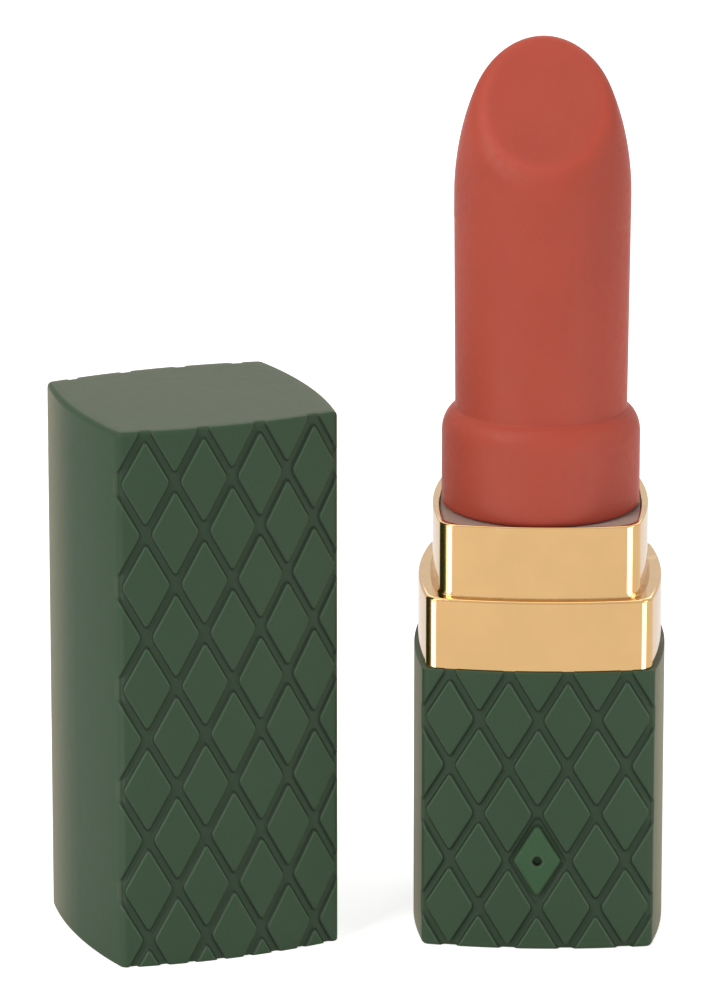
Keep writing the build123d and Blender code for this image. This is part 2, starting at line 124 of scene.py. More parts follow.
# ---- bullet
FLANGE_EDGE_R = 0.5
BULLET_R_LOW = 8.75
BULLET_R = 8.95
FACET_ANGLE = 45.0
FACET_FRONT_Z = 80.0
FACET_HALF = 7.0
FACET_MIDDLE = 8.05
FACET_DISH = 0.3
FACET_EDGE_R = 1.45
TIP_TOP = 93.9
DOME_Z = 76.5
DOME_HANDLE = 8.8
TIP_HANDLE = 4.9
PIVOT_Z = 74.0                     # where the rays that find the tip's surface start
NECK_Z = 54.7
SHOULDER_Z = 51.8
SHOULDER_H = 2.75
SHOULDER_W = 2.0
SHOULDER_BLEND = 0.28
CORE_R = 6.95
CORE_STRAIGHT_TOP = 75.0
CORE_DOME_H = 6.05
NECK_R = 7.25
NECK_TOP = 44.85


# ---------------------------------------------------------------- outlines and meshes

def outline_arcs(shape, inset=0.0, corner_r=None):
    """Centre, radius and half angle of the front arc and of the right arc, and the corner's circle."""
    width, depth, side_bulge, face_bulge, own_r = shape
    r = own_r if corner_r is None else corner_r
    w = width / 2 - inset
    d = depth / 2 - inset
    face_r = (w * w + face_bulge ** 2) / (2 * face_bulge)
    side_r = (d * d + side_bulge ** 2) / (2 * side_bulge)
    face_c = np.array([0.0, -d - face_bulge + face_r])
    side_c = np.array([w + side_bulge - side_r, 0.0])
    ra, rb = face_r - r, side_r - r
    gap = side_c - face_c
    dist = np.linalg.norm(gap)
    along = gap / dist
    across = np.array([-along[1], along[0]])
    t = (ra * ra - rb * rb + dist * dist) / (2 * dist)
    h = math.sqrt(ra * ra - t * t)
    options = [face_c + along * t + across * s * h for s in (-1, 1)]
    corner_c = min(options, key=lambda p: np.linalg.norm(p - np.array([w, -d])))
    to_face = corner_c - face_c
    to_side = corner_c - side_c
    face_half = math.atan2(to_face[0], -to_face[1])
    side_half = math.atan2(-to_side[1], to_side[0])
    return (face_c, face_r, face_half), (side_c, side_r, side_half), (corner_c, r)


def columns(face_shares):
    """For each column round an outline: which arc it is on and the share of the way along it."""
    spots = [("face", 0, share) for share in face_shares]
    for quarter in range(2):
        spots += [("corner", 2 * quarter, k / (CORNER_COLUMNS - 1)) for k in range(CORNER_COLUMNS)]
        spots += [("side", quarter, (k + 1) / (SIDE_COLUMNS + 1)) for k in range(SIDE_COLUMNS)]
        spots += [("corner", 2 * quarter + 1, k / (CORNER_COLUMNS - 1)) for k in range(CORNER_COLUMNS)]
        if quarter == 0:
            spots += [("face", 1, share) for share in face_shares]
    return spots


def outline(shape, spots, inset=0.0, corner_r=None):
    """Points and outward directions round an outline at the given columns."""
    (face_c, face_r, face_half), (side_c, side_r, side_half), (corner_c, r) = outline_arcs(
        shape, inset, corner_r
    )
    quarter_turn = math.pi / 2
    corner_from = -quarter_turn + face_half
    corner_to = -side_half
    points = np.empty((len(spots), 2))
    normals = np.empty((len(spots), 2))
    for k, (kind, which, share) in enumerate(spots):
        if kind == "face":
            angle = -quarter_turn + share * face_half
            centre, radius = face_c, face_r
            flip = which == 1
        elif kind == "side":
            angle = (2 * share - 1) * side_half
            centre, radius = side_c, side_r
            flip = which == 1
        else:
            if which % 2 == 0:
                angle = corner_from + share * (corner_to - corner_from)
                centre, radius = corner_c, r
            else:
                angle = -(corner_to + share * (corner_from - corner_to))
                centre, radius = corner_c * (1, -1), r
            flip = which >= 2
        direction = np.array([math.cos(angle), math.sin(angle)])
        point = centre + radius * direction
        points[k] = -point if flip else point
        normals[k] = -direction if flip else direction
    return points, normals


def at_height(points, z):
    z = np.broadcast_to(z, len(points))
    return np.column_stack([points, z])


def circle_loop(points, radius, z):
    """A round loop whose points lie in the directions of an outline's points."""
    length = np.linalg.norm(points, axis=1, keepdims=True)
    return at_height(points / length * radius, z)


class Skin:
    """Collects rows of points, the marks its material reads, and the faces between them."""

    def __init__(self):
        self.points = []
        self.marks = []
        self.faces = []
        self.count = 0

    def row(self, points, marks=0.0):
        start = self.count
        self.points.append(np.asarray(points, float))
        self.marks.append(np.broadcast_to(marks, (len(points), len(MARKS))))
        self.count += len(points)
        return np.arange(start, self.count)

    def band(self, low, high):
        """Quads between two closed rows of the same length."""
        a, b = np.roll(low, -1), np.roll(high, -1)
        self.faces += np.column_stack([low, a, b, high]).tolist()

    def fan(self, row, tip, tip_last=True):
        """Triangles between a closed row and one point."""
        after = np.roll(row, -1)
        tips = np.full(len(row), tip)
        order = (row, after, tips) if tip_last else (tips, after, row)
        self.faces += np.column_stack(order).tolist()

    def lattice(self, rows):
        """Rhombic faces through rows whose columns alternate; the first and last rows are even."""
        def beside(index, parity):
            if parity == 0:
                return np.roll(index, 1), index
            return index, np.roll(index, -1)

        count = len(rows)
        for j in range(count - 2):
            left, right = beside(rows[j + 1], j % 2)
            self.faces += np.column_stack([rows[j], right, rows[j + 2], left]).tolist()
        first, second = rows[0], rows[1]
        self.faces += np.column_stack([first, np.roll(first, -1), second]).tolist()
        last, below = rows[-1], rows[-2]
        self.faces += np.column_stack([below, np.roll(last, -1), last]).tolist()

    def build(self, name, place=None, normals=None):
        points = np.vstack(self.points) * MM
        if place is not None:
            points = place(points)
        mesh = bpy.data.meshes.new(name)
        mesh.from_pydata(points.tolist(), [], self.faces)
        mesh.polygons.foreach_set("use_smooth", np.ones(len(mesh.polygons), bool))
        if normals is not None:
            mesh.normals_split_custom_set_from_vertices(normals.tolist())
        mesh.update()
        for mark, values in zip(MARKS, np.vstack(self.marks).T):
            layer = mesh.attributes.new(mark, "FLOAT", "POINT")
            layer.data.foreach_set("value", np.ascontiguousarray(values, np.float32))
        piece = bpy.data.objects.new(name, mesh)
        bpy.context.scene.collection.objects.link(piece)
        return piece


def piece_for(piece, body, nodes, material):
    piece.data.materials.clear()
    piece.data.materials.append(material)
    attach(piece, body)
    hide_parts(*nodes)
    return piece


# ---------------------------------------------------------------- quilted shells

def quilt_columns():
    """Columns of a quilted shell: evenly spaced in x across the front and back."""
    (_, face_r, face_half), _, _ = outline_arcs(BASE_OUTLINE)
    half_count = int(face_r * math.sin(face_half) / STEP)
    x = np.arange(-half_count, half_count + 1) * STEP
    shares = np.arcsin(x / face_r) / face_half
    spots = columns(shares)
    # the front's middle column has to be an even one
    shift = half_count % 2
    return spots[shift:] + spots[:shift]


def quilt(points, z, height, pitch_z, crossing_z):
    """Groove weight (1 on a groove's floor, 0 on the diamonds and the smooth sides) and marks."""
    slope = pitch_z / LATTICE_X
    across = slope / math.hypot(slope, 1)
    x, y = points[:, 0], points[:, 1]
    cells = [(x + sign * (z - crossing_z) / slope) / LATTICE_X - 0.5 for sign in (1, -1)]
    distances = [np.abs(cell - np.round(cell)) * LATTICE_X * across for cell in cells]
    reach = GROOVE_MOUTH + DIAMOND_CORNER_R
    away = reach - np.hypot(*[np.maximum(reach - distance, 0) for distance in distances])
    cut = np.clip((GROOVE_MOUTH - away) / (GROOVE_MOUTH - GROOVE_FLOOR), 0, 1)
    edge_y = BASE_OUTLINE[1] / 2 - GROOVE_REACH
    on_face = np.clip((np.abs(y) - edge_y) / GROOVE_FADE, 0, 1)
    on_wall = on_face * np.clip(z / 0.3, 0, 1) * np.clip((height - z) / 0.3, 0, 1)
    return cut * on_face, np.column_stack([*cells, on_wall, np.zeros(len(x))])


def rhombus_distance(x, z, half_w, half_h, corner_r):
    """Distance outside (or, below 0, inside) a rhombus with rounded corners."""
    side = math.hypot(half_w, half_h)
    a = half_w - corner_r * side / half_h
    b = half_h - corner_r * side / half_w
    px, pz = np.abs(x), np.abs(z)
    t = np.clip(((px - a) * -a + pz * b) / (a * a + b * b), 0, 1)
    away = np.hypot(px - a + t * a, pz - t * b)
    inside = px / a + pz / b < 1
    return np.where(inside, -away, away) - corner_r


def quilted_wall(skin, spots, height, pitch_z, crossing_z, rows_z, carve=None):
    """The outer wall from its first to its last row; returns the rows' indices."""
    points, normals = outline(BASE_OUTLINE, spots)
    rows = []
    for j, z in enumerate(rows_z):
        pick = slice(j % 2, None, 2)
        p, n = points[pick], normals[pick]
        weight, marks = quilt(p, z, height, pitch_z, crossing_z)
        placed = at_height(p - n * (GROOVE_DEPTH * weight)[:, None], z)
        if carve is not None:
            # carve also gives the moat's painted shadow, kept in the last mark
            placed, carved, line = carve(placed)
            marks[:, 2] *= 1 - carved
            marks[:, 3] = line
        rows.append(skin.row(placed, marks))
    return rows


def quilted_ring(skin, spots, inset, z, height, pitch_z, crossing_z):
    """One row on a rounded edge of a quilted shell; grooves run out over the edge."""
    points, normals = outline(BASE_OUTLINE, spots)
    p, n = points[::2], normals[::2]
    weight, marks = quilt(p, z, height, pitch_z, crossing_z)
    return skin.row(at_height(p - n * (inset + GROOVE_DEPTH * weight)[:, None], z), marks)


def rounding(radius, steps):
    """Inset and drop of the points of a rounded edge, from the wall's end to the flat's end."""
    turns = [math.pi / 2 * k / steps for k in range(steps + 1)]
    return [(radius * (1 - math.cos(t)), radius * math.sin(t)) for t in turns]


def join(skin, rows, closed=False):
    for low, high in zip(rows, rows[1:]):
        skin.band(low, high)
    if closed:
        skin.band(rows[-1], rows[0])


def make_base(material):
    skin = Skin()
    spots = quilt_columns()
    top = box_mm("base_housing")[1][2]
    port_z = (box_mm("port_seal")[0][2] + box_mm("port_seal")[1][2]) / 2
    dz = STEP * BASE_LATTICE_Z / LATTICE_X
    last = int((top - 0.05 - BASE_CROSSING_Z) / dz / 2) * 2
    rows_z = BASE_CROSSING_Z + np.arange(8, last + 1) * dz
    front = BASE_OUTLINE[1] / 2 + BASE_OUTLINE[3]

    def carve(p):
        """Sinks the moat round the plug; also gives how far each point sank and its painted shadow."""
        near = p[:, 1] < -front / 2
        away = rhombus_distance(
            p[:, 0], p[:, 2] - port_z, PORT_HALF[0] + MOAT[0], PORT_HALF[1] + MOAT[1], MOAT_CORNER_R
        )
        depth = np.clip(0.5 - away / MOAT_WALL, 0, 1) * near
        depth = depth * depth * (3 - 2 * depth)
        out = p.copy()
        out[:, 1] += (np.maximum(p[:, 1], -front + MOAT_DEPTH) - p[:, 1]) * depth
        plug_away = rhombus_distance(p[:, 0], p[:, 2] - port_z, *PORT_HALF, PORT_CORNER_R)
        # painted shadow along the moat's edge and the plug's edge
        edges = np.exp(-(away / 0.13) ** 2) + np.exp(-(plug_away / 0.2) ** 2)
        return out, depth, near * np.clip(0.18 * depth + 0.5 * edges, 0, 0.8)

    lattice = (BASE_LATTICE_Z, BASE_CROSSING_Z)
    bottom_rows = []
    for inset, rise in reversed(rounding(EDGE_R, 6)):
        bottom_rows.append(quilted_ring(skin, spots, inset, EDGE_R - rise, top, *lattice))
    wall_rows = quilted_wall(skin, spots, top, *lattice, rows_z, carve)
    rim = top - rows_z[-1]
    top_rows = [
        quilted_ring(skin, spots, inset, rows_z[-1] + rise, top, *lattice)
        for inset, rise in rounding(rim, 3)[1:]
    ]
    inner = outline(BASE_OUTLINE, spots, WALL, CAVITY_CORNER_R)[0][::2]
    path = [at_height(inner, top), at_height(inner, FLOOR), circle_loop(inner, 9.0, FLOOR)]
    seal_low, seal_high = SEAL_GROOVE_Z
    for radius, z in (
        (BUTTON_OPENING_R, FLOOR), (BUTTON_OPENING_R, seal_high), (SEAL_GROOVE_R, seal_high),
        (SEAL_GROOVE_R, seal_low), (BUTTON_OPENING_R, seal_low),
        (BUTTON_OPENING_R, BUTTON_OPENING_ROUND), (BUTTON_OPENING_R + BUTTON_OPENING_ROUND, 0.0),
        (9.5, 0.0),
    ):
        path.append(circle_loop(inner, radius, z))
    inside_rows = [skin.row(p) for p in path]
    join(skin, bottom_rows + [wall_rows[0]])
    skin.lattice(wall_rows)
    join(skin, [wall_rows[-1]] + top_rows + inside_rows + [bottom_rows[0]])
    piece = skin.build("quilted_base")
    piece.data.set_sharp_from_angle(angle=math.radians(75))
    return piece_for(piece, "unit", ["base_housing"], material)


def make_cap(material):
    skin = Skin()
    spots = quilt_columns()
    low, high = box_mm("cap_shell")
    height = high[2]
    centre = (low + high) / 2
    yaw = math.radians(CAP_YAW)
    dz = STEP * CAP_LATTICE_Z / LATTICE_X
    down = int((height - 0.25) / dz / 2) * 2
    rows_z = height - np.arange(down, 3, -1) * dz
    lattice = (CAP_LATTICE_Z, height)
    inner = outline(UPPER_OUTLINE, spots, -CAP_CLEARANCE)[0][::2]
    ceiling = height - CAP_TOP_WALL
    pole_in = skin.row([(0.0, 0.0, ceiling)])[0]
    inside = []
    for scale, z in (
        (0.35, ceiling), (0.7, ceiling), (0.96, ceiling), (0.985, ceiling - 0.06), (1.0, ceiling - 0.25),
        (1.0, 0.25), (1.006, 0.07), (1.02, 0.0),
    ):
        inside.append(skin.row(at_height(inner * scale, z)))
    rim_r = min(rows_z[0], CAP_RIM_R)
    for inset, rise in reversed(rounding(rim_r, 3)):
        inside.append(quilted_ring(skin, spots, inset, rim_r - rise, height, *lattice))
    wall_rows = quilted_wall(skin, spots, height, *lattice, rows_z)
    outside = [wall_rows[-1]]
    for inset, rise in rounding(EDGE_R, 8):
        outside.append(quilted_ring(skin, spots, inset, height - EDGE_R + rise, height, *lattice))
    edge, edge_normals = outline(BASE_OUTLINE, spots)
    edge = edge[::2] - edge_normals[::2] * EDGE_R
    for scale in (0.93, 0.7, 0.35):
        outside.append(skin.row(at_height(edge * scale, height)))
    pole_out = skin.row([(0.0, 0.0, height)])[0]
    skin.fan(inside[0], pole_in, tip_last=False)
    join(skin, inside + [wall_rows[0]])
    skin.lattice(wall_rows)
    join(skin, outside)
    skin.fan(outside[-1], pole_out)

    def place(p):
        c, s = math.cos(yaw), math.sin(yaw)
        turned = p.copy()
        turned[:, 0] = p[:, 0] * c - p[:, 1] * s + centre[0] * MM
        turned[:, 1] = p[:, 0] * s + p[:, 1] * c + centre[1] * MM
        return turned

    piece = skin.build("quilted_cap", place)
    piece.data.set_sharp_from_angle(angle=math.radians(75))
    return piece_for(piece, "cap", ["cap_shell"], material)


def make_port(material):
    """The soft charging plug: a cushioned diamond with a pin hole, and a flange inside the wall."""
    low, high = box_mm("port_seal")
    port_z = (low[2] + high[2]) / 2
    front_y, back_y = low[1], high[1]
    half_flange = (high[0], (high[2] - low[2]) / 2)
    count = 192
    turn = np.arange(count) / count * 2 * math.pi
    ray = np.column_stack([np.cos(turn), np.sin(turn)])

    def rhombus(shrink):
        reach_low = np.zeros(count)
        reach_high = np.full(count, 6.0)
        for _ in range(40):
            middle = (reach_low + reach_high) / 2
            away = rhombus_distance(ray[:, 0] * middle, ray[:, 1] * middle, *PORT_HALF, PORT_CORNER_R)
            outside = away > -shrink
            reach_high = np.where(outside, middle, reach_high)
            reach_low = np.where(outside, reach_low, middle)
        return reach_low

    flange = np.min(half_flange / np.maximum(np.abs(ray), 1e-6), axis=1)
    skin = Skin()

    def loop(reach, y, painted_light=0.0):
        reach = np.broadcast_to(reach, count)
        points = np.column_stack([ray[:, 0] * reach, np.full(count, y), port_z + ray[:, 1] * reach])
        return skin.row(points, (0.0, 0.0, 0.0, painted_light))

    rows = [loop(flange, back_y), loop(flange, PLUG_FLANGE_Y), loop(rhombus(0.0), PLUG_FLANGE_Y)]
    for inset, rise in rounding(PLUG_EDGE_R, 6):
        rows.append(loop(rhombus(inset), front_y + PLUG_EDGE_R - rise))
    edge = rhombus(PLUG_EDGE_R)
    for share in (0.85, 0.65, 0.45, 0.3):
        rows.append(loop(edge * share, front_y - PLUG_SWELL * (1 - share ** 2)))
    lip = front_y - PLUG_SWELL
    # painted shade, darker down the pin hole
    for radius, depth, dark in ((0.72, 0.0, 0), (0.6, 0.03, 0), (0.52, 0.09, 0.3), (PIN_HOLE_R, 0.2, 1)):
        rows.append(loop(radius, lip + depth, dark))
    rows.append(loop(PIN_HOLE_R, back_y, 1.0))
    join(skin, rows[::-1], closed=True)
    piece = skin.build("port_plug")
    piece.data.set_sharp_from_angle(angle=math.radians(60))
    return piece_for(piece, "unit", ["port_seal"], material)


# ---------------------------------------------------------------- gold collar

def make_collar(material):
    """The stepped collar, with exact normals so that its mirror finish stays clean."""
    low, high = box_mm("stepped_collar")
    base_top = box_mm("base_housing")[1][2]
    recess = box_mm("bullet_gasket")[0][2] - GASKET_GAP
    spots = columns(np.linspace(-0.995, 0.995, 61))
    skin = Skin()
    normals = []

    def loop(shape, inset, z, tilt, corner_r=None, radius=None):
        """One row; tilt is the angle of its outward direction above level, in degrees."""
        points, outward = outline(shape, spots, inset, corner_r)
        if radius is not None:
            points = points / np.linalg.norm(points, axis=1, keepdims=True)
            outward = points
            points = points * radius
        tilt = math.radians(tilt)
        normals.append(np.column_stack([outward * math.cos(tilt), np.full(len(points), math.sin(tilt))]))
        return skin.row(at_height(points, z))

    rows = []

    def convex(shape, radius, z, steps, first=0, last=90, start_inset=0.0, corner_r=None):
        """A rounded edge that turns from the tilt first to the tilt last; z is the flat's height."""
        for k in range(steps + 1):
            tilt = math.radians(first + (last - first) * k / steps)
            inset = start_inset + radius * (1 - math.cos(tilt))
            rows.append(loop(shape, inset, z - radius * (1 - math.sin(tilt)), math.degrees(tilt), corner_r))

    convex(LOWER_OUTLINE, LOW_FOOT_R, base_top + 2 * LOW_FOOT_R, 4, -90, 0)
    for z in (base_top + 0.4, base_top + 2.5, LEDGE_Z - 2.5, LEDGE_Z - 0.5):
        rows.append(loop(LOWER_OUTLINE, 0, z, 0))
    convex(LOWER_OUTLINE, LEDGE_EDGE_R, LEDGE_Z, 10)
    for k in range(9):
        tilt = math.radians(90 - 90 * k / 8)
        out = LEDGE_FILLET_R * (1 - math.cos(tilt))
        height = LEDGE_Z + LEDGE_FILLET_R * (1 - math.sin(tilt))
        rows.append(loop(UPPER_OUTLINE, out - LEDGE_FILLET_R, height, math.degrees(tilt)))
    for z in (LEDGE_Z + 0.5, LEDGE_Z + 2.5, high[2] - 2.5, high[2] - 0.4):
        rows.append(loop(UPPER_OUTLINE, 0, z, 0))
    convex(UPPER_OUTLINE, RIM_EDGE_R, high[2], 8)
    for k in range(9):
        tilt = math.radians(90 + 90 * k / 8)
        inset = -RIM_EDGE_R * (1 + math.cos(tilt))
        height = high[2] - RIM_EDGE_R * (1 - math.sin(tilt))
        rows.append(loop(RECESS_OUTLINE, inset, height, math.degrees(tilt)))
    rows.append(loop(RECESS_OUTLINE, 0, high[2] - 0.3, 180))
    rows.append(loop(RECESS_OUTLINE, 0, recess, 180))
    rows.append(loop(RECESS_OUTLINE, 0.05, recess, 90))
    rows.append(loop(UPPER_OUTLINE, 0, recess, 90, radius=7.4))
    rows.append(loop(UPPER_OUTLINE, 0, recess, 180, radius=CORE_HOLE_R))
    rows.append(loop(UPPER_OUTLINE, 0, recess - CORE_PLATE, 180, radius=CORE_HOLE_R))
    rows.append(loop(COLLAR_INSIDE, 0.05, recess - CORE_PLATE, -90))
    rows.append(loop(COLLAR_INSIDE, 0, recess - CORE_PLATE - 0.1, 180))
    rows.append(loop(COLLAR_INSIDE, 0, low[2] + 0.05, 180))
    rows.append(loop(COLLAR_INSIDE, -0.05, low[2], -90))
    spigot = WALL + SPIGOT_CLEARANCE
    ring_low, ring_high = RING_Z - RING_HALF, RING_Z + RING_HALF
    for inset, z, tilt in (
        (0.05, low[2], -90), (0.0, low[2] + 0.05, 0), (0.0, ring_low, 0),
        (RING_DEPTH, ring_low, 0), (RING_DEPTH, ring_high, 0),
        (0.0, ring_high, 0), (0.0, base_top + 0.01, 0),
    ):
        rows.append(loop(BASE_OUTLINE, spigot + inset, z, tilt, CAVITY_CORNER_R))
    join(skin, rows, closed=True)
    piece = skin.build("gold_collar", normals=np.vstack(normals))
    return piece_for(piece, "unit", ["stepped_collar"], material)


# ---------------------------------------------------------------- silicone bullet

def smooth_max(a, b, k):
    h = np.clip(0.5 + 0.5 * (a - b) / k, 0, 1)
    return b + (a - b) * h + k * h * (1 - h)


def bezier(points, count):
    t = np.linspace(0, 1, count)[:, None]
    p = [np.array(q, float) for q in points]
    return (1 - t) ** 3 * p[0] + 3 * (1 - t) ** 2 * t * p[1] + 3 * (1 - t) * t * t * p[2] + t ** 3 * p[3]


def make_sleeve(material):
    low, high = box_mm("silicone_sleeve")
    bottom, flange_r = low[2], high[0]
    count = 240
    turn = np.arange(count) / count * 2 * math.pi
    ray = np.column_stack([np.sin(turn), -np.cos(turn)])
    skin = Skin()

    def loop(radius, z, painted_light=0.0):
        radius = np.broadcast_to(radius, count)
        marks = np.zeros((count, len(MARKS)))
        marks[:, 3] = painted_light
        return skin.row(np.column_stack([ray * radius[:, None], np.broadcast_to(z, count)]), marks)

    rows = [loop(NECK_R, bottom), loop(9.0, bottom)]
    rows += [loop(flange_r - inset, bottom + FLANGE_EDGE_R - rise)
             for inset, rise in reversed(rounding(FLANGE_EDGE_R, 6))]
    # the flange, its rounded shoulder and the soft crease where the bullet rises out of it
    side_z = np.concatenate([np.linspace(bottom + 0.8, 51.3, 8), np.linspace(51.6, 55.9, 44),
                             np.linspace(56.8, PIVOT_Z, 24)])
    taper = np.clip((side_z - NECK_Z) / (DOME_Z - NECK_Z), 0, 1)
    bullet = BULLET_R_LOW + (BULLET_R - BULLET_R_LOW) * taper
    over = np.clip((side_z - SHOULDER_Z) / SHOULDER_H, 0, 1)
    shoulder = flange_r - SHOULDER_W + SHOULDER_W * np.sqrt(1 - over ** 2)
    # past its end the shoulder falls away steeply, so that only the bullet is left
    shoulder -= 4.0 * np.clip(side_z - SHOULDER_Z - SHOULDER_H, 0, None)
    profile = smooth_max(bullet, shoulder, SHOULDER_BLEND)
    rows += [loop(r, z) for r, z in zip(profile, side_z)]

    # the tip: rays from a point on the axis, stopped by the dome or by the slanted facet
    dome_ends = [(BULLET_R, DOME_Z), (BULLET_R, DOME_Z + DOME_HANDLE), (TIP_HANDLE, TIP_TOP), (0, TIP_TOP)]
    dome = bezier(dome_ends, 400)
    side = np.column_stack([np.full(60, BULLET_R), np.linspace(PIVOT_Z, DOME_Z, 60, endpoint=False)])
    curve = np.vstack([side, dome])
    curve_angle = np.arctan2(curve[:, 1] - PIVOT_Z, curve[:, 0])
    curve_reach = np.hypot(curve[:, 0], curve[:, 1] - PIVOT_Z)
    slope = math.radians(FACET_ANGLE)
    along = np.array([0, math.cos(slope), math.sin(slope)])
    out = np.array([0, -math.sin(slope), math.cos(slope)])
    ball_r = (FACET_HALF ** 2 + FACET_DISH ** 2) / (2 * FACET_DISH)
    edge = np.array([0, -BULLET_R, FACET_FRONT_Z])
    ball = edge + along * FACET_MIDDLE - out * FACET_DISH + out * ball_r
    pivot = np.array([0, 0, PIVOT_Z])
    lifts = np.radians(np.concatenate([np.linspace(1.5, 60, 66), np.linspace(60.6, 89.4, 40)]))
    nudge = 1e-3
    for lift in lifts:
        reach = np.interp(lift, curve_angle, curve_reach)
        growth = (np.interp(lift + nudge, curve_angle, curve_reach)
                  - np.interp(lift - nudge, curve_angle, curve_reach)) / (2 * nudge)
        square_on = reach / math.hypot(reach, growth)
        direction = np.column_stack([ray * math.cos(lift), np.full(count, math.sin(lift))])
        near, far = np.zeros(count), np.full(count, 30.0)
        for _ in range(36):
            middle = (near + far) / 2
            p = pivot + direction * middle[:, None]
            to_dome = (middle - reach) * square_on
            to_facet = ball_r - np.linalg.norm(p - ball, axis=1)
            a = np.maximum(to_dome + FACET_EDGE_R, 0)
            b = np.maximum(to_facet + FACET_EDGE_R, 0)
            away = np.minimum(-FACET_EDGE_R, np.maximum(to_dome, to_facet)) + np.hypot(a, b)
            outside = away > 0
            far = np.where(outside, middle, far)
            near = np.where(outside, near, middle)
        # a painted highlight along the facet's rim, passed to the material as a mark
        rim = np.exp(-((to_dome - to_facet + 0.5) / 0.55) ** 2)
        rows.append(loop(near * math.cos(lift), PIVOT_Z + near * math.sin(lift), rim))
    tip_z = skin.points[-1][:, 2].mean() + 0.002
    top = skin.row([(0, 0, tip_z)], skin.marks[-1][:1])[0]
    join(skin, rows)
    skin.fan(rows[-1], top)
    # the hollow that sits on the hard core
    inside = [loop(CORE_R * math.cos(t), CORE_STRAIGHT_TOP + CORE_DOME_H * math.sin(t))
              for t in np.radians(np.linspace(86, 0, 24))]
    inside += [loop(CORE_R, NECK_TOP), loop(NECK_R, NECK_TOP)]
    pole = skin.row([(0, 0, CORE_STRAIGHT_TOP + CORE_DOME_H)])[0]
    skin.fan(inside[0], pole, tip_last=False)
    join(skin, inside + [rows[0]])
    piece = skin.build("silicone_bullet")
    piece.data.set_sharp_from_angle(angle=math.radians(60))
    return piece_for(piece, "unit", ["silicone_sleeve"], material)


# ---------------------------------------------------------------- materials

def srgb(r, g, b):
    def linear(c):
        c /= 255
        return c / 12.92 if c <= 0.04045 else ((c + 0.055) / 1.055) ** 2.4
    return (linear(r), linear(g), linear(b), 1.0)


def scaled(colour, factor):
    return tuple(c * factor for c in colour[:3]) + (1.0,)


class Nodes:
    """A material's node tree, with short calls for the nodes used here."""

    def __init__(self, name):
        self.material = bpy.data.materials.new(name)
        self.material.use_nodes = True
        self.tree = self.material.node_tree
        self.shader = self.tree.nodes["Principled BSDF"]
        self.place = self.tree.nodes.new("ShaderNodeTexCoord").outputs["Object"]

    def link(self, a, b):
        self.tree.links.new(a, b)

    def set(self, name, value):
        self.shader.inputs[name].default_value = value

    def noise(self, size_mm, detail=3.0, stretch=None):
        """Noise with features about this many millimetres across."""
        node = self.tree.nodes.new("ShaderNodeTexNoise")
        node.inputs["Scale"].default_value = 1 / (size_mm * MM)
        node.inputs["Detail"].default_value = detail
        node.inputs["Roughness"].default_value = 0.55
        place = self.place
        if stretch is not None:
            mapping = self.tree.nodes.new("ShaderNodeMapping")
            mapping.inputs["Scale"].default_value = stretch
            self.link(place, mapping.inputs["Vector"])
            place = mapping.outputs["Vector"]
        self.link(place, node.inputs["Vector"])
        return node.outputs["Fac"]

    def cells(self, size_mm):
        node = self.tree.nodes.new("ShaderNodeTexVoronoi")
        node.inputs["Scale"].default_value = 1 / (size_mm * MM)
        self.link(self.place, node.inputs["Vector"])
        return node.outputs["Distance"]

    def remap(self, value, low_in, high_in, low_out, high_out):
        node = self.tree.nodes.new("ShaderNodeMapRange")
        node.interpolation_type = "SMOOTHSTEP"
        for name, number in (
            ("From Min", low_in), ("From Max", high_in), ("To Min", low_out), ("To Max", high_out)
        ):
            node.inputs[name].default_value = number
        self.link(value, node.inputs["Value"])
        return node.outputs["Result"]

    def mix(self, factor, a, b, blend="MIX"):
        node = self.tree.nodes.new("ShaderNodeMix")
        node.data_type = "RGBA"
        node.blend_type = blend
        for socket, value in ((node.inputs["Factor"], factor), (node.inputs[6], a), (node.inputs[7], b)):
            if isinstance(value, (int, float, tuple)):
                socket.default_value = value
            else:
                self.link(value, socket)
        return node.outputs[2]

    def mark(self, name):
        node = self.tree.nodes.new("ShaderNodeAttribute")
        node.attribute_name = name
        return node.outputs["Fac"]

    def math(self, operation, a, b=0.0):
        node = self.tree.nodes.new("ShaderNodeMath")
        node.operation = operation
        for socket, value in ((node.inputs[0], a), (node.inputs[1], b)):
            if isinstance(value, (int, float)):
                socket.default_value = value
            else:
                self.link(value, socket)
        return node.outputs["Value"]

    def pointiness(self):
        return self.tree.nodes.new("ShaderNodeNewGeometry").outputs["Pointiness"]

    def grazing(self, blend):
        node = self.tree.nodes.new("ShaderNodeLayerWeight")
        node.inputs["Blend"].default_value = blend
        return node.outputs["Facing"]

    def bump(self, height, strength, distance_mm, below=None):
        node = self.tree.nodes.new("ShaderNodeBump")
        node.inputs["Strength"].default_value = strength
        node.inputs["Distance"].default_value = distance_mm * MM
        self.link(height, node.inputs["Height"])
        if below is not None:
            self.link(below, node.inputs["Normal"])
        return node.outputs["Normal"]

    def finish(self, colour=None, roughness=None, normal=None):
        for name, value in (("Base Color", colour), ("Roughness", roughness), ("Normal", normal)):
            if value is None:
                continue
            if isinstance(value, (int, float, tuple)):
                self.set(name, value)
            else:
                self.link(value, self.shader.inputs[name])
        return self.material


